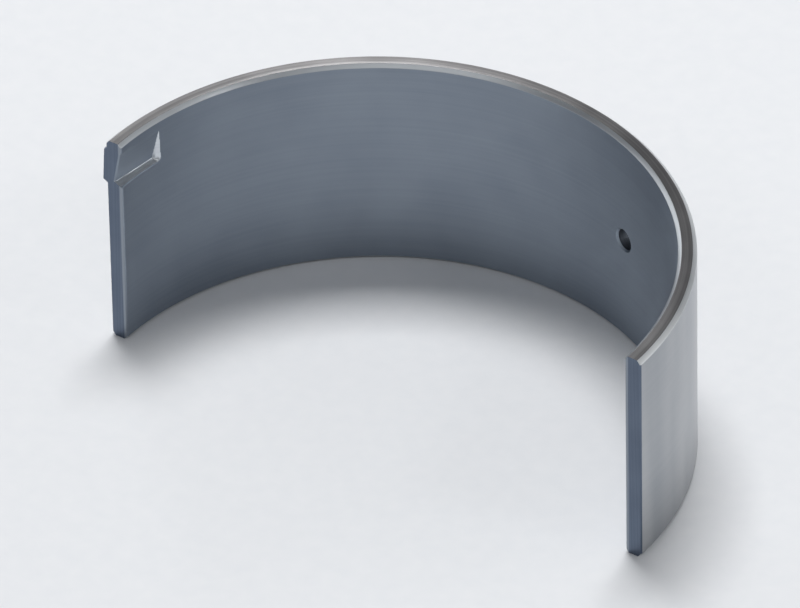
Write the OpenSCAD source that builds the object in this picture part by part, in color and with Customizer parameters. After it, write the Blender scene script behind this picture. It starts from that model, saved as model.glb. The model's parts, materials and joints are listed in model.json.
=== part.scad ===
// Half shell of a plain engine bearing, for the big end of a connecting rod.
// The Z axis is the bearing axis, Y = 0 is the parting plane and the wall lies on the +Y side.
// The shell stands on its lower rim. Its locating lug is at the -X joint face, near the upper rim.
// Its oil hole lies at mid width, between the crown and the plain joint face at +X.

/* [Shell] */
// Diameter over the steel back, the size of the rod's bore
back_d = 51; // [44:0.2:70]
// Thickness of the wall, steel back and bonded lining together
wall = 1.5; // [1.2:0.1:2.6]
// Width of the shell along the bearing axis
width = 19.4; // [14:0.2:36]

/* [Edges] */
// Chamfer round the bore at both rims
bore_chamfer = 0.3; // [0.1:0.05:0.5]
// Chamfer round the back at both rims
back_chamfer = 0.35; // [0.1:0.05:0.5]
// Edge break along both edges of each joint face
joint_chamfer = 0.1; // [0.05:0.05:0.3]

/* [Locating lug] */
// Length of the lug, measured square to the joint face
lug_len = 4.6; // [3:0.1:7]
// Width of the lug along the bearing axis
lug_w = 3.4; // [2:0.1:5]
// Plain strip of wall between the lug and the upper rim
lug_margin = 0.8; // [0.6:0.1:4]
// Radius of the two corners at the lug's end
lug_corner = 0.5; // [0.2:0.1:0.8]
// How far the lug stands out from the back at the joint face, along its lower side
lug_proud = 0.45; // [0.3:0.05:0.8]
// How much less it stands out along its upper side
lug_drop = 0.2; // [0.05:0.05:0.25]
// Chamfer along the lug's two outer corners
lug_chamfer = 0.25; // [0.05:0.05:0.3]
// Depth of the pressed pocket behind the lug at the joint face, along its lower side
pocket_depth = 0.8; // [0.7:0.05:1.1]
// Depth of the pocket at the foot of its end wall, along its lower side
pocket_end_depth = 0.6; // [0.4:0.05:0.8]
// How far the pocket's end wall leans open over its depth
pocket_draft = 0.3; // [0.1:0.05:0.5]
// Angle at which the pocket's floor rises towards the bore, from its lower side up
pocket_tilt = 11; // [4:1:12]

/* [Oil hole] */
// Diameter of the oil hole, drilled through the wall at mid width
oil_hole_d = 1.8; // [1:0.1:4]
// Place of the oil hole round the bearing axis, in degrees from the plain joint face
oil_hole_angle = 69; // [40:1:140]
// Edge break round the oil hole in the bore
oil_hole_chamfer = 0.15; // [0.05:0.05:0.3]

/* [Hidden] */
$fn = 180;

// Overrun of a cut past the faces that it opens
overrun = 1;

back_r = back_d / 2;
bore_r = back_r - wall;
half_w = width / 2;

// Distance from the parting plane's normal to a round wall of radius r, at height y above that plane
function wall_x(r, y) = sqrt(r * r - y * y);

// Along its lower side the pocket's floor leans inwards, from the joint face to the foot of the end wall
floor_len = lug_len - pocket_draft;
floor_x = bore_r + pocket_depth;
floor_end_x = wall_x(bore_r, floor_len) + pocket_end_depth;
lug_lean = atan((floor_x - floor_end_x) / floor_len);

// The end wall leans open towards the bore, which it meets at the lug's full length
mouth_x = wall_x(bore_r, lug_len);
draft_lean = atan(pocket_draft / (floor_end_x - mouth_x));

// The lug's outer face has the same lean
lug_x = back_r + lug_proud;
lug_t = (lug_x - floor_x) * cos(lug_lean);
lug_z = half_w - lug_margin - lug_w / 2;
lug_low_z = lug_z - lug_w / 2;

// Section of the wall, with a chamfer at each of its four corners
module wall_section() {
    polygon([
        [bore_r + bore_chamfer, -half_w],
        [back_r - back_chamfer, -half_w],
        [back_r, -half_w + back_chamfer],
        [back_r, half_w - back_chamfer],
        [back_r - back_chamfer, half_w],
        [bore_r + bore_chamfer, half_w],
        [bore_r, half_w - bore_chamfer],
        [bore_r, -half_w + bore_chamfer]
    ]);
}

// Two long prisms that break the edges of the joint face at +X
module joint_edge_breaks() {
    reach = joint_chamfer + overrun;
    translate([0, 0, -half_w - overrun])
        linear_extrude(width + 2 * overrun) {
            polygon([
                [bore_r - overrun, -overrun],
                [bore_r + reach, -overrun],
                [bore_r - overrun, reach]
            ]);
            polygon([
                [back_r + overrun, -overrun],
                [back_r - reach, -overrun],
                [back_r + overrun, reach]
            ]);
        }
}

// Half ring with plain joint faces
module plain_half_ring() {
    difference() {
        rotate_extrude(angle = 180) wall_section();
        joint_edge_breaks();
        mirror([1, 0, 0]) joint_edge_breaks();
    }
}

// Section of the lug, square to its length, with its lower side at +Y, where it is most proud, up to X = 0
module lug_section() {
    half = lug_w / 2;
    polygon([
        [-lug_t, -half],
        [-lug_drop - lug_chamfer, -half],
        [-lug_drop, -half + lug_chamfer],
        [0, half - lug_chamfer],
        [-lug_chamfer, half],
        [-lug_t, half]
    ]);
}

// Side view of the room that the lug may fill: flush with the joint face, and ramped down to the back
module lug_reach() {
    end_x = wall_x(back_r, lug_len);
    outer_x = lug_x + overrun;
    polygon([
        [bore_r, 0],
        [outer_x, 0],
        [outer_x, lug_len + end_x - outer_x],
        [bore_r, lug_len + end_x - bore_r]
    ]);
}

// Outline of the lug seen from the bearing axis: its end is at X = 0, with two round corners
module lug_outline() {
    half = lug_w / 2;
    flat_half = half - lug_corner;
    run = lug_len + 2 * overrun;
    translate([-run, -half])
        square([run - lug_corner, lug_w]);
    translate([-run, -flat_half])
        square([run, 2 * flat_half]);
    for (side = [-1, 1])
        translate([-lug_corner, side * flat_half])
            circle(r = lug_corner);
}

// Prism of that outline, through the wall at the +X joint face, turned about the lug's end in the bore
module lug_prism(lean) {
    translate([mouth_x, lug_len, lug_z])
        rotate([0, 0, -lean])
            translate([-overrun, 0, 0])
                rotate([90, 0, 90])
                    linear_extrude(2 * lug_len) lug_outline();
}

// Leaning tab of the lug, at the +X joint face
module lug_tab() {
    intersection() {
        lug_prism(0);
        translate([lug_x, 0, lug_z])
            rotate([0, 0, lug_lean])
                translate([0, -overrun, 0])
                    rotate([-90, 0, 0])
                        linear_extrude(2 * lug_len) lug_section();
        translate([0, 0, lug_z - lug_w])
            linear_extrude(2 * lug_w) lug_reach();
    }
}

// Pocket that the punch leaves in the bore behind the lug, open at the +X joint face
module lug_pocket() {
    reach = wall + overrun;
    intersection() {
        lug_prism(draft_lean);
        translate([floor_x, 0, lug_low_z])
            rotate([0, -pocket_tilt, lug_lean])
                translate([-reach, -overrun, -overrun])
                    cube([reach, lug_len + 2 * overrun, lug_w + 2 * overrun]);
    }
}

// Drill for the oil hole, with the countersink that breaks its edge in the bore
module oil_hole() {
    hole_r = oil_hole_d / 2;
    sink = oil_hole_chamfer + overrun;
    rotate([0, 90, oil_hole_angle])
        translate([0, 0, bore_r - overrun]) {
            cylinder(r = hole_r, h = wall + 2 * overrun);
            cylinder(r1 = hole_r + sink, r2 = hole_r, h = sink);
        }
}

module bearing_shell() {
    color("#8d949b")
        difference() {
            union() {
                plain_half_ring();
                mirror([1, 0, 0]) lug_tab();
            }
            mirror([1, 0, 0]) lug_pocket();
            oil_hole();
        }
}

bearing_shell();
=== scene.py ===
"""Looks of one half shell of a plain engine bearing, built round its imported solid.

The shell's classes hold sizes in millimetres. Its mesh and the studio are in metres, in the solid's frame:
Z is the bearing axis, Y = 0 is the parting plane and the lug is at the -X joint face.
"""

import json
import logging
import math
from dataclasses import dataclass, field
from enum import Enum
from typing import Any, NamedTuple

import bmesh
import bpy
import numpy as np
from mathutils import Matrix, Vector


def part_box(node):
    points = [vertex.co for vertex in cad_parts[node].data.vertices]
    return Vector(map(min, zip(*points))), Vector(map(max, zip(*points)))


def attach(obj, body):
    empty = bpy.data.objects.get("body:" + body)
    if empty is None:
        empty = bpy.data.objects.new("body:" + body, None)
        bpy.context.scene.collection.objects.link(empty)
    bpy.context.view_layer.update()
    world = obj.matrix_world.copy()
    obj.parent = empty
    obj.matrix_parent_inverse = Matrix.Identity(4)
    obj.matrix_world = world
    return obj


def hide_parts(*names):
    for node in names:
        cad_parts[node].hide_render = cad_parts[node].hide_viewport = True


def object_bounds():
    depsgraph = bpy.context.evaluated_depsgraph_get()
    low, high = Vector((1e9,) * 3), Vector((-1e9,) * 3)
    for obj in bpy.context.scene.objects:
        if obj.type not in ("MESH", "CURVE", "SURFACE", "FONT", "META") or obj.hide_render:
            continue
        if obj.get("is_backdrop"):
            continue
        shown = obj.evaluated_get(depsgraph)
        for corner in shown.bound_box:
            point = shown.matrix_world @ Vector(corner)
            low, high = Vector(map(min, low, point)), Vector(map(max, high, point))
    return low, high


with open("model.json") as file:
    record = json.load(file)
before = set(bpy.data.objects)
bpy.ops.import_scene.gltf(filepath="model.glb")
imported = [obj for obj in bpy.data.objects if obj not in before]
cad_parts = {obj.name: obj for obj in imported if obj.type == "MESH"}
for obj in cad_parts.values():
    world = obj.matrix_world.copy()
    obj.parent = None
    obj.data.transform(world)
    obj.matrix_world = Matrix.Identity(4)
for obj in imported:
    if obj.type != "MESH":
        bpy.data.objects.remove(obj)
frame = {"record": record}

NODE = "bearing_shell"
PIECE = "half_shell"
MM = 0.001
MICRON = 1e-6
QUARTER_TURN = 0.25
QUAD = 4
# Direction of the bearing axis.
AXIS = (0.0, 0.0, 1.0)
# Allowance for rounding where two lengths that should be equal are compared.
TINY = 1e-9
# Largest share of a pressed step's height that the round at its foot, or the one at its edge, may take.
ROUND_SHARE = 0.3
# Sockets of a colour mix by number, because its sockets for other kinds of data have the same names.
MIX_SHARE = 0
MIX_FIRST = 6
MIX_SECOND = 7
MIX_RESULT = 2

log = logging.getLogger("bearing_shell")


class Region(Enum):
    """Stretches of the shell's surface, in the order of its material slots."""

    LINING = 0
    # Steep walls of the lug's pocket, made brighter as a painted highlight.
    PRESSED_HIGHLIGHT = 1
    CHAMFER = 2
    RIM = 3
    JOINT = 4
    BACK = 5
    # Wall of the oil hole, made dark as painted shade.
    DRILLED_SHADE = 6


class Lay(Enum):
    """What a surface's tool marks follow: rings of one height, or lines of one distance from the axis."""

    HEIGHT = "height"
    RADIUS = "radius"


class Corner(NamedTuple):
    """Corner of the wall's section, with the regions of its round and of the face that follows it."""

    radius: float
    height: float
    rounded: Region
    face: Region


def linear(colour: str) -> tuple[float, float, float, float]:
    """Turn an sRGB hex colour into the linear colour that shaders take.

    Args:
        colour: Colour such as "#8d949b".

    Returns:
        Red, green and blue, and full opacity.
    """
    channels = [channel / 255 for channel in bytes.fromhex(colour.removeprefix("#"))]
    # The numbers are those of the sRGB curve.
    made = [c / 12.92 if c <= 0.04045 else ((c + 0.055) / 1.055) ** 2.4 for c in channels]
    return made[0], made[1], made[2], 1.0


def add_node(
    tree: bpy.types.NodeTree, kind: str, inputs: dict[str | int, Any] | None = None, **settings: Any
) -> bpy.types.Node:
    """Add a node with its settings and links.

    Args:
        tree: Node tree that takes the node.
        kind: Blender's name for the node's type.
        inputs: Input socket, by name or number, to its value or to the output that feeds it.
        settings: Properties of the node itself.

    Returns:
        The new node.
    """
    node = tree.nodes.new(kind)
    for name, value in settings.items():
        setattr(node, name, value)
    for socket, value in (inputs or {}).items():
        if isinstance(value, bpy.types.NodeSocket):
            tree.links.new(value, node.inputs[socket])
        else:
            node.inputs[socket].default_value = value
    return node


def empty_material(name: str) -> bpy.types.Material:
    """Make a node material with nothing in its tree.

    Args:
        name: Name of the material.

    Returns:
        The new material.
    """
    material = bpy.data.materials.new(name)
    material.use_nodes = True
    material.node_tree.nodes.clear()
    return material


@dataclass(frozen=True)
class MetalFinish:
    """Finish of bare metal with tool marks, soft clouds of tone and, on a cut edge, the lining's stripe.

    Tones run from dark to light and roughness with them, from its first value to its second. The cloud's
    share is how much of the tone the clouds give, and the marks give the rest.
    """

    name: str
    light: str
    dark: str
    roughness: tuple[float, float]
    lay: Lay
    pitch: float
    mark_length: float
    mark_depth_um: float
    cloud: float
    cloud_share: float
    cloud_stretch: float = 1.0
    anisotropy: float = 0.0
    stripe: str | None = None
    stripe_end_r: float = 0.0
    stripe_blur: float = 0.03
    detail: float = 2.0
    mark_grain: float = 0.6
    cloud_grain: float = 0.5
    colour_range: tuple[float, float] = (0.32, 0.68)
    roughness_range: tuple[float, float] = (0.3, 0.7)

    def material(self) -> bpy.types.Material:
        """Make the material.

        Returns:
            The material, ready for a slot.
        """
        material = empty_material(self.name)
        tree = material.node_tree
        place = add_node(tree, "ShaderNodeTexCoord").outputs["Object"]
        radius = self._radius(tree, place)
        marks = self._marks(tree, place, radius)
        tone = self._tone(tree, place, marks)
        bump = add_node(tree, "ShaderNodeBump", {"Height": marks, "Distance": self.mark_depth_um * MICRON})
        shader = add_node(
            tree,
            "ShaderNodeBsdfPrincipled",
            {
                "Base Color": self._colour(tree, tone, radius),
                "Metallic": 1.0,
                "Roughness": self._roughness(tree, tone),
                "Anisotropic": self.anisotropy,
                "Anisotropic Rotation": QUARTER_TURN,
                "Normal": bump.outputs["Normal"],
            },
        )
        if self.anisotropy:
            # The marks run round the axis, and a quarter turn draws the light out across them.
            along = add_node(tree, "ShaderNodeVectorMath", {0: AXIS, 1: place}, operation="CROSS_PRODUCT")
            tree.links.new(along.outputs["Vector"], shader.inputs["Tangent"])
        add_node(tree, "ShaderNodeOutputMaterial", {"Surface": shader.outputs["BSDF"]})
        return material

    @staticmethod
    def _radius(tree: bpy.types.NodeTree, place: bpy.types.NodeSocket) -> bpy.types.NodeSocket:
        """Measure the distance from the bearing axis.

        Args:
            tree: Node tree of the material.
            place: Place on the surface, in metres.

        Returns:
            Output with the distance in metres.
        """
        flat = add_node(
            tree, "ShaderNodeVectorMath", {0: place, 1: (1.0, 1.0, 0.0)}, operation="MULTIPLY"
        ).outputs["Vector"]
        return add_node(tree, "ShaderNodeVectorMath", {0: flat}, operation="LENGTH").outputs["Value"]

    def _marks(
        self, tree: bpy.types.NodeTree, place: bpy.types.NodeSocket, radius: bpy.types.NodeSocket
    ) -> bpy.types.NodeSocket:
        """Draw long fine tool marks.

        Args:
            tree: Node tree of the material.
            place: Place on the surface, in metres.
            radius: Distance from the axis, in metres.

        Returns:
            Output with the marks' height, from 0 to 1.
        """
        along = 1 / (self.mark_length * MM)
        across = 1 / (self.pitch * MM)
        if self.lay is Lay.HEIGHT:
            stretched = add_node(
                tree, "ShaderNodeVectorMath", {0: place, 1: (along, along, across)}, operation="MULTIPLY"
            ).outputs["Vector"]
        else:
            slow = add_node(
                tree, "ShaderNodeVectorMath", {0: place, 1: (along, along, along)}, operation="MULTIPLY"
            ).outputs["Vector"]
            quick = add_node(
                tree, "ShaderNodeMath", {0: radius, 1: across}, operation="MULTIPLY"
            ).outputs["Value"]
            step = add_node(tree, "ShaderNodeCombineXYZ", {"Z": quick}).outputs["Vector"]
            stretched = add_node(
                tree, "ShaderNodeVectorMath", {0: slow, 1: step}, operation="ADD"
            ).outputs["Vector"]
        return add_node(
            tree,
            "ShaderNodeTexNoise",
            {"Vector": stretched, "Scale": 1.0, "Detail": self.detail, "Roughness": self.mark_grain},
        ).outputs["Fac"]

    def _tone(
        self, tree: bpy.types.NodeTree, place: bpy.types.NodeSocket, marks: bpy.types.NodeSocket
    ) -> bpy.types.NodeSocket:
        """Mix soft clouds into the marks.

        Args:
            tree: Node tree of the material.
            place: Place on the surface, in metres.
            marks: Height of the tool marks.

        Returns:
            Output with the tone, from 0 to 1.
        """
        wide = 1 / (self.cloud * MM)
        drawn = add_node(
            tree,
            "ShaderNodeVectorMath",
            {0: place, 1: (wide, wide, wide / self.cloud_stretch)},
            operation="MULTIPLY",
        ).outputs["Vector"]
        clouds = add_node(
            tree,
            "ShaderNodeTexNoise",
            {"Vector": drawn, "Scale": 1.0, "Detail": self.detail, "Roughness": self.cloud_grain},
        ).outputs["Fac"]
        return add_node(
            tree, "ShaderNodeMix", {"Factor": self.cloud_share, "A": marks, "B": clouds}
        ).outputs["Result"]

    def _colour(
        self, tree: bpy.types.NodeTree, tone: bpy.types.NodeSocket, radius: bpy.types.NodeSocket
    ) -> bpy.types.NodeSocket:
        """Colour the metal by its tone, and show the lining's alloy where a cut edge runs through it.

        Args:
            tree: Node tree of the material.
            tone: Tone, from 0 to 1.
            radius: Distance from the axis, in metres.

        Returns:
            Output with the colour.
        """
        low, high = self.colour_range
        share = add_node(tree, "ShaderNodeMapRange", {"Value": tone, "From Min": low, "From Max": high})
        colour = add_node(
            tree,
            "ShaderNodeMix",
            {
                MIX_SHARE: share.outputs["Result"],
                MIX_FIRST: linear(self.dark),
                MIX_SECOND: linear(self.light),
            },
            data_type="RGBA",
        ).outputs[MIX_RESULT]
        if not self.stripe:
            return colour
        steel = add_node(
            tree,
            "ShaderNodeMapRange",
            {
                "Value": radius,
                "From Min": (self.stripe_end_r - self.stripe_blur) * MM,
                "From Max": (self.stripe_end_r + self.stripe_blur) * MM,
            },
        )
        return add_node(
            tree,
            "ShaderNodeMix",
            {MIX_SHARE: steel.outputs["Result"], MIX_FIRST: linear(self.stripe), MIX_SECOND: colour},
            data_type="RGBA",
        ).outputs[MIX_RESULT]

    def _roughness(self, tree: bpy.types.NodeTree, tone: bpy.types.NodeSocket) -> bpy.types.NodeSocket:
        """Roughen the metal by its tone.

        Args:
            tree: Node tree of the material.
            tone: Tone, from 0 to 1.

        Returns:
            Output with the roughness.
        """
        return add_node(
            tree,
            "ShaderNodeMapRange",
            {
                "Value": tone,
                "From Min": self.roughness_range[0],
                "From Max": self.roughness_range[1],
                "To Min": self.roughness[0],
                "To Max": self.roughness[1],
            },
        ).outputs["Result"]


@dataclass(frozen=True)
class PaperFinish:
    """Matt studio paper, which gives a pale even ground with a trace of fibre."""

    name: str = "studio_paper_matt"
    light: str = "#e2e3e5"
    dark: str = "#dbdde0"
    fibre: float = 1.5
    detail: float = 4.0
    roughness: float = 0.95
    specular: float = 0.2

    def material(self) -> bpy.types.Material:
        """Make the material.

        Returns:
            The material, ready for a slot.
        """
        material = empty_material(self.name)
        tree = material.node_tree
        place = add_node(tree, "ShaderNodeTexCoord").outputs["Object"]
        fibres = add_node(
            tree,
            "ShaderNodeTexNoise",
            {"Vector": place, "Scale": 1 / (self.fibre * MM), "Detail": self.detail},
        ).outputs["Fac"]
        colour = add_node(
            tree,
            "ShaderNodeMix",
            {MIX_SHARE: fibres, MIX_FIRST: linear(self.dark), MIX_SECOND: linear(self.light)},
            data_type="RGBA",
        ).outputs[MIX_RESULT]
        shader = add_node(
            tree,
            "ShaderNodeBsdfPrincipled",
            {"Base Color": colour, "Roughness": self.roughness, "Specular IOR Level": self.specular},
        )
        add_node(tree, "ShaderNodeOutputMaterial", {"Surface": shader.outputs["BSDF"]})
        return material


@dataclass(frozen=True)
class PressedLug:
    """Locating lug: a tab pressed out of the wall at a joint face, and the pocket that the punch leaves.

    A draft is how far a wall leans over its height. In the core of a corner no direction can be told.
    """

    bore_r: float
    back_r: float
    tip_x: float
    middle_z: float
    length: float = 4.6
    width: float = 3.4
    corner: float = 0.5
    corner_core: float = 0.005
    pocket_depth: float = 0.8
    pocket_end_depth: float = 0.6
    pocket_tilt: float = 11.0
    pocket_end_draft: float = 0.3
    pocket_side_draft: float = 0.16
    pocket_lip: float = 0.22
    pocket_fillet: float = 0.14
    tab_drop: float = 0.2
    tab_foot: float = 0.05
    tab_edge: float = 0.2
    tab_draft: float = 0.14
    least_draft: float = 0.02

    @property
    def lean(self) -> float:
        """Slope of the pocket's floor and of the tab's face, inwards from the joint face."""
        run = self.length - self.pocket_end_draft
        floor_end = math.sqrt(self.bore_r**2 - run**2) + self.pocket_end_depth
        return (self.bore_r + self.pocket_depth - floor_end) / run

    @property
    def low_z(self) -> float:
        """Height of the lug's lower side, which is pressed out furthest."""
        return self.middle_z - self.width / 2

    def pocket(self, angle: np.ndarray, height: np.ndarray) -> np.ndarray:
        """Work out how deep the pocket lies behind the bore.

        Args:
            angle: Angles from the lug's joint face, in radians.
            height: Heights along the bearing axis.

        Returns:
            Depth at each angle and height.
        """
        climb = math.tan(math.radians(self.pocket_tilt)) * math.hypot(1, self.lean)
        floor_x = self.bore_r + self.pocket_depth - climb * (height - self.low_z)
        full = np.maximum(floor_x / (np.cos(angle) + self.lean * np.sin(angle)) - self.bore_r, 0)
        inside, end_share = self._inside(angle, height, self.bore_r)
        lean_out = self.pocket_side_draft + (self.pocket_end_draft - self.pocket_side_draft) * end_share
        draft = np.maximum(lean_out * full / self.pocket_end_depth, self.least_draft)
        return self._step(inside - self.pocket_lip / 2, full, self.pocket_lip, draft, self.pocket_fillet)

    def rise(self, angle: np.ndarray, height: np.ndarray) -> np.ndarray:
        """Work out how far the tab stands out of the back.

        Args:
            angle: Angles from the lug's joint face, in radians.
            height: Heights along the bearing axis.

        Returns:
            Rise at each angle and height.
        """
        face_x = self.tip_x - self.tab_drop * (height - self.low_z) / self.width
        full = np.maximum(face_x / (np.cos(angle) + self.lean * np.sin(angle)) - self.back_r, 0)
        inside, _ = self._inside(angle, height, self.back_r)
        return self._step(inside, full, self.tab_foot, self.tab_draft, self.tab_edge)

    def _inside(
        self, angle: np.ndarray, height: np.ndarray, wall_r: float
    ) -> tuple[np.ndarray, np.ndarray]:
        """Measure how far a place lies inside the lug's outline, which has two round corners at its end.

        Args:
            angle: Angle from the joint face, in radians.
            height: Height along the bearing axis.
            wall_r: Radius of the wall that carries the place, up to a quarter turn from the joint face.

        Returns:
            Distance from the outline, below zero outside it, and how much the outline's nearest stretch
            faces the lug's end: 1 at the end, 0 at the sides and between the two in the corners.
        """
        run = wall_r * np.sin(np.minimum(angle, math.pi / 2))
        end, side = np.broadcast_arrays(self.length - run, self.width / 2 - np.abs(height - self.middle_z))
        past_end = np.maximum(self.corner - end, 0)
        past_side = np.maximum(self.corner - side, 0)
        reach = np.hypot(past_end, past_side)
        in_corner = (past_end > 0) & (past_side > 0)
        distance = np.where(in_corner, self.corner - reach, np.minimum(end, side))
        end_share = np.where(in_corner, (past_end / np.maximum(reach, self.corner_core)) ** 2, end < side)
        return distance, end_share

    @staticmethod
    def _step(
        inside: np.ndarray, full: np.ndarray, foot: float, draft: float | np.ndarray, top: float
    ) -> np.ndarray:
        """Shape a pressed step: a round foot, a steep wall and a round edge at its full height.

        Args:
            inside: Distance from the step's outline.
            full: Full height of the step at each place.
            foot: Largest radius at the step's foot.
            draft: How far the wall leans over its height.
            top: Largest radius at the step's full height.

        Returns:
            Height of the step at each place.
        """
        largest = ROUND_SHARE * full
        foot_r = np.minimum(foot, largest)
        top_r = np.minimum(top, largest)
        rising = foot_r - np.sqrt(np.maximum(foot_r**2 - np.clip(inside + foot_r, 0, foot_r) ** 2, 0))
        wall = foot_r + (full - top_r - foot_r) * np.clip(inside / draft, 0, 1)
        past = np.clip(top_r - (inside - draft), 0, top_r)
        edge = full - top_r + np.sqrt(np.maximum(top_r**2 - past**2, 0))
        return np.where(inside < 0, rising, np.where(inside < draft, wall, edge))


@dataclass(frozen=True)
class OilHole:
    """Oil hole drilled through the wall at mid width, with its edges broken."""

    angle: float
    hole_r: float
    bore_r: float
    back_r: float
    bore_break: float = 0.15
    back_break: float = 0.05
    overrun: float = 1.0
    points: int = 72

    def cutter(self) -> bpy.types.Object:
        """Build the closed body that the hole takes out of the wall.

        Returns:
            The body, in place.
        """
        # The hole's own wall takes the drilled finish, whose dark grey is painted shade.
        bands = (Region.LINING, Region.DRILLED_SHADE, Region.BACK)
        rings = [
            (self.bore_r - self.overrun, self.hole_r + self.bore_break + self.overrun),
            (self.bore_r + self.bore_break, self.hole_r),
            (self.back_r - self.back_break, self.hole_r),
            (self.back_r + self.overrun, self.hole_r + self.back_break + self.overrun),
        ]
        turn = np.linspace(0, 2 * math.pi, self.points, endpoint=False)
        out = np.array([math.cos(self.angle), math.sin(self.angle), 0.0])
        across = np.array([-math.sin(self.angle), math.cos(self.angle), 0.0])
        spokes = np.cos(turn)[:, None] * across + np.sin(turn)[:, None] * np.array(AXIS)
        places = np.concatenate([out * reach + spokes * r for reach, r in rings])
        first = np.arange(self.points)
        after = np.roll(first, -1)
        faces = [first[::-1].tolist(), (first + len(bands) * self.points).tolist()]
        slots = [Region.DRILLED_SHADE.value] * len(faces)
        for ring, band in enumerate(bands):
            low, high = ring * self.points, (ring + 1) * self.points
            faces += np.stack([first + low, after + low, after + high, first + high], axis=-1).tolist()
            slots += [band.value] * self.points
        mesh = bpy.data.meshes.new("oil_hole_cutter")
        mesh.from_pydata((places * MM).tolist(), [], faces)
        mesh.polygons.foreach_set("material_index", slots)
        cutter = bpy.data.objects.new("oil_hole_cutter", mesh)
        bpy.context.scene.collection.objects.link(cutter)
        return cutter


@dataclass(frozen=True)
class ShellSizes:
    """Sizes of the half shell, in millimetres, with the oil hole's angle in radians from +X."""

    bore_r: float
    back_r: float
    half_width: float
    bore_chamfer: float
    back_chamfer: float
    lug_tip_x: float
    lug_z: float
    oil_hole_r: float
    oil_hole_angle: float
    joint_break: float = 0.1
    corner_r: float = 0.05
    lining: float = 0.3

    @classmethod
    def from_frame(cls, record: dict[str, Any]) -> "ShellSizes":
        """Read the sizes off the solid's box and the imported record's mounts.

        Args:
            record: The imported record.

        Returns:
            The shell's sizes.
        """
        mounts = {m["name"]: m for m in record["mounts"]}
        low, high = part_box(NODE)
        half_width = high.z / MM
        oil_axis = mounts["oil_hole"]["axis"]
        return cls(
            bore_r=mounts["journal_bore"]["dims"]["r_mm"],
            back_r=mounts["housing_seat"]["dims"]["r_mm"],
            half_width=half_width,
            bore_chamfer=half_width - mounts["journal_bore"]["dims"]["length_mm"] / 2,
            back_chamfer=half_width - mounts["housing_seat"]["dims"]["length_mm"] / 2,
            lug_tip_x=-low.x / MM,
            lug_z=mounts["locating_lug"]["pos_m"][2] / MM,
            oil_hole_r=mounts["oil_hole"]["dims"]["r_mm"],
            oil_hole_angle=math.atan2(oil_axis[1], oil_axis[0]),
        )


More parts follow.
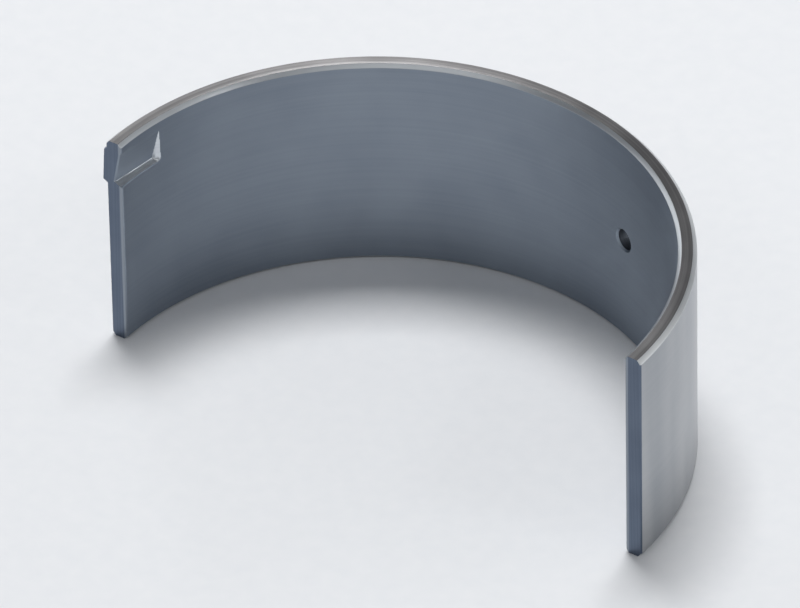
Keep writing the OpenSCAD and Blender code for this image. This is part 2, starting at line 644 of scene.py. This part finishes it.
@dataclass
class BearingShell:
    """The half shell: one strip of lined steel, swept round half a turn and closed by its joint faces.

    Columns are a step of degrees apart, and rows a step of millimetres. The lining takes the punched finish
    and its painted highlight where the pocket is steeper than the pressed slope and, along its sides,
    deeper than the pressed depth too.
    """

    sizes: ShellSizes
    lug: PressedLug = field(init=False)
    oil_hole: OilHole = field(init=False)
    column_step: float = 0.75
    row_step: float = 0.6
    lug_row_step: float = 0.12
    fine_step: float = 0.05
    least_gap: float = 0.025
    least_row: float = 0.005
    break_columns: int = 4
    pressed_highlight_slope: float = 0.4
    pressed_highlight_depth: float = 0.15
    corner_points: int = 4
    sharp_angle: float = 28.0

    def __post_init__(self) -> None:
        """Place the lug and the oil hole in the wall."""
        s = self.sizes
        self.lug = PressedLug(s.bore_r, s.back_r, s.lug_tip_x, s.lug_z)
        self.oil_hole = OilHole(s.oil_hole_angle, s.oil_hole_r, s.bore_r, s.back_r)

    def build(self) -> bpy.types.Object:
        """Build the shell's mesh.

        Returns:
            The piece, in place and with its material slots still empty.
        """
        radii, heights, regions = self._section()
        angles = self._angles()
        places = self._places(angles, radii, heights)
        count, rows = len(angles), len(radii)
        first = np.arange((count - 1) * rows).reshape(count - 1, rows)
        after = np.roll(first, -1, axis=1)
        faces = np.stack([first, first + rows, after + rows, after], axis=-1).reshape(-1, QUAD).tolist()
        slots = self._slots(angles, heights, regions).ravel().tolist()
        # A joint face closes each end of the sweep.
        for start in (0, (count - 1) * rows):
            faces.append(list(range(start, start + rows)))
            slots.append(Region.JOINT.value)
        mesh = bpy.data.meshes.new(PIECE)
        mesh.from_pydata((places.reshape(-1, 3) * MM).tolist(), [], faces)
        mesh.polygons.foreach_set("material_index", slots)
        self._close(mesh)
        piece = bpy.data.objects.new(PIECE, mesh)
        bpy.context.scene.collection.objects.link(piece)
        return piece

    def dress(self, piece: bpy.types.Object) -> None:
        """Give each region its finish, and put the piece in the part's place.

        Args:
            piece: The shell's mesh object.
        """
        finishes = self._finishes()
        for region in Region:
            piece.data.materials.append(finishes[region].material())
        self._drill(piece)
        weighted = piece.modifiers.new("even_flats", "WEIGHTED_NORMAL")
        weighted.keep_sharp = True
        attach(piece, "root")
        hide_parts(NODE)

    def _finishes(self) -> dict[Region, MetalFinish]:
        """Describe the finish of each region.

        Returns:
            Region to its finish.
        """
        lining_end_r = self.sizes.bore_r + self.sizes.lining
        return {
            # Soft overlay plated on a fine-bored lining: an even satin grey, with rings only just seen; its
            # blue cast is a painted reflection.
            # The boring bar's feed of 0.06 mm is drawn as 0.3 mm, so that it shows.
            Region.LINING: MetalFinish(
                name="lead_tin_overlay_plated",
                light="#98a1ac",
                dark="#88919d",
                roughness=(0.46, 0.54),
                lay=Lay.HEIGHT,
                pitch=0.3,
                mark_length=28.0,
                mark_depth_um=0.7,
                cloud=7.0,
                cloud_share=0.7,
                anisotropy=0.3,
            ),
            # The same lining where the punch has sheared and rubbed it: a smoother grey, made much brighter
            # as a painted highlight on the pocket's steep walls.
            # The punch's lines of 0.03 mm are drawn as 0.12 mm, so that they show.
            Region.PRESSED_HIGHLIGHT: MetalFinish(
                name="lining_punched",
                light="#dadee2",
                dark="#c4c9cf",
                roughness=(0.28, 0.36),
                lay=Lay.HEIGHT,
                pitch=0.12,
                mark_length=3.0,
                mark_depth_um=1.0,
                cloud=1.5,
                cloud_share=0.6,
            ),
            # Lining and low-carbon steel chamfered on a lathe: a bright clean line round both rims.
            # The tool's feed of 0.05 mm is drawn as 0.14 mm, so that it shows.
            Region.CHAMFER: MetalFinish(
                name="lining_and_steel_chamfered",
                light="#d3d5d6",
                dark="#bdc0c2",
                roughness=(0.32, 0.42),
                lay=Lay.RADIUS,
                pitch=0.14,
                mark_length=45.0,
                mark_depth_um=1.2,
                cloud=5.0,
                cloud_share=0.5,
                stripe="#b4b8bc",
                stripe_end_r=lining_end_r,
            ),
            # Low-carbon steel faced on a lathe, with close rings; its dull dark grey, darker than faced
            # steel, is painted shade.
            # The tool's feed of 0.05 mm is drawn as 0.14 mm, so that it shows.
            Region.RIM: MetalFinish(
                name="low_carbon_steel_faced",
                light="#878686",
                dark="#6d6c6d",
                roughness=(0.3, 0.42),
                lay=Lay.RADIUS,
                pitch=0.14,
                mark_length=45.0,
                mark_depth_um=1.6,
                cloud=5.0,
                cloud_share=0.4,
                anisotropy=0.7,
            ),
            # The same steel broached along the axis, with straight drawn lines; its dark blue-grey is a
            # painted reflection of a dark blue ground.
            # The broach's lines of 0.04 mm are drawn as 0.16 mm, so that they show.
            Region.JOINT: MetalFinish(
                name="low_carbon_steel_broached",
                light="#6b7686",
                dark="#576171",
                roughness=(0.28, 0.4),
                lay=Lay.RADIUS,
                pitch=0.16,
                mark_length=9.0,
                mark_depth_um=2.0,
                cloud=4.0,
                cloud_share=0.35,
                stripe="#8a919a",
                stripe_end_r=lining_end_r,
            ),
            # Cold-rolled steel with a flash of tin, bent in a press: silver in broad, soft upright bands.
            # The rolls' lines of 0.05 mm are drawn as 0.4 mm, so that they show.
            Region.BACK: MetalFinish(
                name="cold_rolled_steel_tin_flashed",
                light="#b0b2b4",
                dark="#8a8f96",
                roughness=(0.26, 0.34),
                lay=Lay.HEIGHT,
                pitch=0.4,
                mark_length=40.0,
                mark_depth_um=0.8,
                cloud=4.5,
                cloud_share=0.9,
                cloud_stretch=8.0,
                anisotropy=0.5,
            ),
            # Low-carbon steel drilled and left as it is, coloured dark grey as painted shade so that the
            # hole reads as deep.
            # The drill's feed of 0.05 mm is drawn as 0.12 mm, so that it shows.
            Region.DRILLED_SHADE: MetalFinish(
                name="low_carbon_steel_drilled",
                light="#686d75",
                dark="#50555c",
                roughness=(0.45, 0.6),
                lay=Lay.RADIUS,
                pitch=0.12,
                mark_length=2.0,
                mark_depth_um=3.0,
                cloud=1.0,
                cloud_share=0.4,
            ),
        }

    def _section(self) -> tuple[np.ndarray, np.ndarray, list[Region]]:
        """Draw the wall's section as a closed line with rounded corners.

        Returns:
            Radius and height of each point, and the region of the face that starts there.
        """
        s = self.sizes
        top = s.half_width
        inner, outer = s.bore_r + s.bore_chamfer, s.back_r - s.back_chamfer
        corners = [
            Corner(s.bore_r, -top + s.bore_chamfer, Region.CHAMFER, Region.LINING),
            Corner(s.bore_r, top - s.bore_chamfer, Region.CHAMFER, Region.CHAMFER),
            Corner(inner, top, Region.RIM, Region.RIM),
            Corner(outer, top, Region.RIM, Region.CHAMFER),
            Corner(s.back_r, top - s.back_chamfer, Region.CHAMFER, Region.BACK),
            Corner(s.back_r, -top + s.back_chamfer, Region.CHAMFER, Region.CHAMFER),
            Corner(outer, -top, Region.RIM, Region.RIM),
            Corner(inner, -top, Region.RIM, Region.CHAMFER),
        ]
        points: list[tuple[float, float]] = []
        regions: list[Region] = []
        for i, corner in enumerate(corners):
            arc = self._round(corners[i - 1], corner, corners[(i + 1) % len(corners)])
            points += arc
            regions += [corner.rounded] * (len(arc) - 1) + [corner.face]
            if corner.face in (Region.LINING, Region.BACK):
                between = self._wall_heights(arc[-1][1], -arc[-1][1])
                points += [(corner.radius, z) for z in between]
                regions += [corner.face] * len(between)
        return np.array([p[0] for p in points]), np.array([p[1] for p in points]), regions

    def _round(self, before: Corner, corner: Corner, after: Corner) -> list[tuple[float, float]]:
        """Round one corner of the section.

        Args:
            before: Corner before it.
            corner: The corner to round.
            after: Corner after it.

        Returns:
            Points of the round, from the side of the corner before.
        """
        here = np.array([corner.radius, corner.height])
        back = np.array([before.radius, before.height]) - here
        on = np.array([after.radius, after.height]) - here
        back /= np.linalg.norm(back)
        on /= np.linalg.norm(on)
        half = math.acos(float(np.clip(back @ on, -1, 1))) / 2
        middle = here + (back + on) / np.linalg.norm(back + on) * self.sizes.corner_r / math.sin(half)
        start = here + back * self.sizes.corner_r / math.tan(half) - middle
        end = here + on * self.sizes.corner_r / math.tan(half) - middle
        made = []
        for t in np.linspace(0, 1, self.corner_points):
            spoke = start * (1 - t) + end * t
            made.append(tuple(middle + spoke / np.linalg.norm(spoke) * self.sizes.corner_r))
        return made

    def _wall_heights(self, start: float, end: float) -> list[float]:
        """Space the rows of a wall, closer together at the lug and closest along its two sides.

        Args:
            start: Height that the wall starts from.
            end: Height that it ends at.

        Returns:
            Heights of the rows between the two, in order.
        """
        low, high = min(start, end), max(start, end)
        half = self.lug.width / 2
        rows = list(np.arange(low, high, self.row_step))
        rows += list(self.lug.middle_z + np.arange(-half, half, self.lug_row_step))
        for side in (-1, 1):
            edge = self.lug.middle_z + side * half
            rows += list(edge - side * np.arange(-self.lug.pocket_lip, self.lug.corner, self.fine_step))
        return self._thinned(rows, low, high, reverse=start > end)

    def _thinned(self, values: list[float], low: float, high: float, reverse: bool = False) -> list[float]:
        """Sort values and leave out those that crowd each other or the two ends.

        Args:
            values: Values to sort.
            low: Lower end, left out.
            high: Upper end, left out.
            reverse: Whether the largest comes first.

        Returns:
            The values that stay.
        """
        least = self.least_gap
        kept: list[float] = []
        for value in sorted(values):
            if low + least < value < high - least and (not kept or value - kept[-1] > least):
                kept.append(float(value))
        return kept[::-1] if reverse else kept

    def _angles(self) -> np.ndarray:
        """Space the columns, close together at the joint faces and at the lug's end.

        Returns:
            Angles from the lug's joint face, in radians.
        """
        s = self.sizes
        arc = math.pi * s.bore_r
        columns = list(np.arange(0, arc, math.radians(self.column_step) * s.bore_r))
        ends = np.arange(0, 2 * s.joint_break, s.joint_break / self.break_columns)
        columns += list(ends) + list(arc - ends)
        wall = self.lug.corner + self.lug.pocket_lip
        columns += list(np.arange(self.lug.length - wall, self.lug.length + wall / 2, self.fine_step))
        inner = self._thinned(columns, 0, arc)
        return np.array([0.0, *inner, arc]) / s.bore_r

    def _slots(self, angles: np.ndarray, heights: np.ndarray, regions: list[Region]) -> np.ndarray:
        """Choose the material slot of each face of the swept wall.

        Args:
            angles: Angle of each column.
            heights: Height of each row.
            regions: Region of the faces that start at each row of the plain section.

        Returns:
            Slot of each face, by column and row.
        """
        s = self.sizes
        slots = np.tile([region.value for region in regions], (len(angles) - 1, 1))
        wall = np.isin(slots, (Region.LINING.value, Region.BACK.value))
        lining = slots == Region.LINING.value
        # How steep the pocket is over each face, round the axis and along it.
        depth = self.lug.pocket(angles[:, None], heights[None, :])
        above = np.roll(depth, -1, axis=1)
        arc_step = np.diff(angles)[:, None] * s.bore_r
        height_step = np.maximum(np.abs(np.roll(heights, -1) - heights), self.least_row)[None, :]
        round_slope = np.maximum(np.abs(np.diff(depth, axis=0)), np.abs(np.diff(above, axis=0))) / arc_step
        up = np.abs(above - depth)
        up_slope = np.maximum(up[:-1], up[1:]) / height_step
        end_wall = round_slope > self.pressed_highlight_slope
        side_wall = up_slope > self.pressed_highlight_slope
        deep = np.maximum(np.maximum(depth[:-1], depth[1:]), np.maximum(above[:-1], above[1:]))
        # The steep walls take the punched finish, whose bright grey is a painted highlight.
        pressed = end_wall | (side_wall & (deep > self.pressed_highlight_depth))
        slots[lining & pressed] = Region.PRESSED_HIGHLIGHT.value
        # The broken edges of a joint face are finished like it, outside the pocket.
        to_joint = np.minimum(angles, math.pi - angles) * s.bore_r
        edge = np.maximum(to_joint[:-1], to_joint[1:]) < s.joint_break + TINY
        slots[wall & edge[:, None] & (depth[:-1] < self.fine_step)] = Region.JOINT.value
        return slots

    def _places(self, angles: np.ndarray, radii: np.ndarray, heights: np.ndarray) -> np.ndarray:
        """Sweep the section round, press the lug and break the joint faces' edges.

        Args:
            angles: Angle of each column.
            radii: Radius of each row on the plain section.
            heights: Height of each row.

        Returns:
            Place of each point, by column and row.
        """
        s = self.sizes
        angle = angles[:, None]
        height = np.broadcast_to(heights, (len(angles), len(heights)))
        to_joint = np.minimum(angle, math.pi - angle) * s.bore_r
        taken = np.maximum(s.joint_break - to_joint, 0)
        on_bore = np.isclose(radii, s.bore_r)
        on_back = np.isclose(radii, s.back_r)
        r = np.clip(radii, s.bore_r + taken, s.back_r - taken)
        r = np.where(on_bore, r + self.lug.pocket(angle, height), r)
        r = np.where(on_back, r + self.lug.rise(angle, height), r)
        return np.stack([-r * np.cos(angle), r * np.sin(angle), height], axis=-1)

    def _close(self, mesh: bpy.types.Mesh) -> None:
        """Turn every face outwards, cut the joint faces into triangles and mark the sharp edges.

        Args:
            mesh: The shell's mesh.
        """
        work = bmesh.new()
        work.from_mesh(mesh)
        joints = [f for f in work.faces if len(f.verts) > QUAD]
        bmesh.ops.triangulate(work, faces=joints)
        bmesh.ops.recalc_face_normals(work, faces=work.faces)
        work.to_mesh(mesh)
        work.free()
        mesh.shade_smooth()
        mesh.set_sharp_from_angle(angle=math.radians(self.sharp_angle))

    def _drill(self, piece: bpy.types.Object) -> None:
        """Cut the oil hole through the wall.

        Args:
            piece: The shell's mesh object, with its materials.
        """
        cutter = self.oil_hole.cutter()
        for material in piece.data.materials:
            cutter.data.materials.append(material)
        cut = piece.modifiers.new("oil_hole", "BOOLEAN")
        cut.operation = "DIFFERENCE"
        cut.solver = "EXACT"
        cut.object = cutter
        whole = piece.data
        piece.data = bpy.data.meshes.new_from_object(
            piece.evaluated_get(bpy.context.evaluated_depsgraph_get())
        )
        piece.modifiers.remove(cut)
        bpy.data.meshes.remove(whole)
        bpy.data.meshes.remove(cutter.data)
        piece.data.name = piece.name
        piece.data.shade_smooth()
        piece.data.set_sharp_from_angle(angle=math.radians(self.sharp_angle))


def direction(azimuth: float, elevation: float) -> Vector:
    """Give the direction from the part to a place round it.

    Args:
        azimuth: Degrees from -Y towards +X.
        elevation: Degrees above the horizon.

    Returns:
        Unit vector.
    """
    a, e = math.radians(azimuth), math.radians(elevation)
    return Vector((math.sin(a) * math.cos(e), -math.cos(a) * math.cos(e), math.sin(e)))


@dataclass(frozen=True)
class SoftBox:
    """A flat soft lamp that faces the part.

    Angles are in degrees, lengths in metres and radiance in watts per square metre and steradian.
    """

    name: str
    azimuth: float
    elevation: float
    distance: float
    width: float
    height: float
    radiance: float

    def add(self, target: Vector) -> None:
        """Hang the lamp.

        Args:
            target: Place that the lamp faces.
        """
        lamp = bpy.data.lights.new(self.name, "AREA")
        lamp.shape = "RECTANGLE"
        lamp.size, lamp.size_y = self.width, self.height
        lamp.energy = self.radiance * self.width * self.height * math.pi
        back = direction(self.azimuth, self.elevation)
        holder = bpy.data.objects.new(self.name, lamp)
        turn = back.to_track_quat("Z", "Y").to_matrix().to_4x4()
        holder.matrix_world = Matrix.Translation(target + back * self.distance) @ turn
        holder.visible_camera = False
        bpy.context.scene.collection.objects.link(holder)


@dataclass(frozen=True)
class Viewpoint:
    """Camera of the photograph, aimed at the shell: a long lens a metre away."""

    azimuth: float = 35.7
    elevation: float = 37.8
    roll: float = -1.1
    distance: float = 1.03
    lens: float = 589.0
    sensor: float = 36.0

    def add(self, piece: bpy.types.Object) -> None:
        """Set up the camera.

        Args:
            piece: Piece that fills the middle of the picture.
        """
        back = direction(self.azimuth, self.elevation)
        a, roll = math.radians(self.azimuth), math.radians(self.roll)
        level = Vector((math.cos(a), math.sin(a), 0))
        right = level * math.cos(roll) + back.cross(level) * math.sin(roll)
        turn = Matrix((right, back.cross(right), back)).transposed()
        # The camera aims at the middle of the piece as it sees it.
        seen = np.array([v.co for v in piece.data.vertices]) @ np.array(turn)
        middle = Vector((seen.min(axis=0) + seen.max(axis=0)) / 2)
        data = bpy.data.cameras.new("photo_view")
        data.sensor_width = self.sensor
        data.lens = self.lens
        camera = bpy.data.objects.new("photo_view", data)
        camera.matrix_world = Matrix.Translation(turn @ middle + back * self.distance) @ turn.to_4x4()
        bpy.context.scene.collection.objects.link(camera)
        bpy.context.scene.camera = camera


@dataclass
class Studio:
    """Plain pale floor, soft lamps, a dim room and the camera.

    Lengths are in metres. On a sky of radius 1, the zenith's colour starts at the height zenith_start.
    """

    piece: bpy.types.Object
    floor_z: float
    floor_side: float = 6.0
    horizon: str = "#b4b6b9"
    zenith: str = "#5b5e62"
    zenith_start: float = 0.6
    viewpoint: Viewpoint = Viewpoint()
    # Azimuth and elevation, then distance, width and height, and radiance.
    boxes: tuple[SoftBox, ...] = (
        SoftBox("key_left", -144, 70, 0.9, 0.4, 0.28, 19.0),
        SoftBox("rim_back", -132, 27, 0.9, 0.16, 0.16, 6.0),
        SoftBox("fill_front", 18, 52, 0.7, 0.8, 0.28, 1.05),
        SoftBox("edge_back_right", 138, 33, 0.6, 0.36, 0.3, 0.42),
        SoftBox("spark_right", 97, 44, 0.6, 0.12, 0.08, 5.0),
        SoftBox("edge_left", -92, 9, 0.6, 0.7, 0.14, 2.0),
        SoftBox("low_right", 116, 13, 0.6, 0.5, 0.16, 2.0),
    )

    def build(self) -> None:
        """Set up the floor, the light and the camera."""
        bpy.context.scene.view_settings.view_transform = "Standard"
        self._floor()
        self._room()
        for box in self.boxes:
            box.add(Vector((0, 0, self.floor_z)))
        self.viewpoint.add(self.piece)

    def _floor(self) -> None:
        """Lay the floor under the part."""
        half = self.floor_side / 2
        corners = [(-half, -half, 0), (half, -half, 0), (half, half, 0), (-half, half, 0)]
        mesh = bpy.data.meshes.new("floor")
        mesh.from_pydata(corners, [], [(0, 1, 2, 3)])
        mesh.materials.append(PaperFinish().material())
        floor = bpy.data.objects.new("floor", mesh)
        floor.location.z = self.floor_z
        bpy.context.scene.collection.objects.link(floor)
        floor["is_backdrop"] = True

    def _room(self) -> None:
        """Surround the part with a room that is pale at the horizon and dimmer overhead."""
        world = bpy.data.worlds.new("room")
        world.use_nodes = True
        tree = world.node_tree
        tree.nodes.clear()
        way = add_node(tree, "ShaderNodeTexCoord").outputs["Generated"]
        height = add_node(tree, "ShaderNodeSeparateXYZ", {0: way}).outputs["Z"]
        share = add_node(
            tree, "ShaderNodeMapRange", {"Value": height, "From Min": 0.0, "From Max": self.zenith_start}
        )
        colour = add_node(
            tree,
            "ShaderNodeMix",
            {
                MIX_SHARE: share.outputs["Result"],
                MIX_FIRST: linear(self.horizon),
                MIX_SECOND: linear(self.zenith),
            },
            data_type="RGBA",
        ).outputs[MIX_RESULT]
        light = add_node(tree, "ShaderNodeBackground", {"Color": colour, "Strength": 1.0})
        add_node(tree, "ShaderNodeOutputWorld", {"Surface": light.outputs["Background"]})
        bpy.context.scene.world = world


def main() -> None:
    """Build the shell and the studio."""
    logging.basicConfig(level=logging.INFO, format="%(name)s: %(message)s")
    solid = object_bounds()
    shell = BearingShell(ShellSizes.from_frame(frame["record"]))
    piece = shell.build()
    shell.dress(piece)
    log.info("%s: %d points, %d faces", piece.name, len(piece.data.vertices), len(piece.data.polygons))
    Studio(piece, floor_z=solid[0].z).build()
    log.info("studio: floor, lamps, room and camera")


if __name__ == "__main__":
    main()
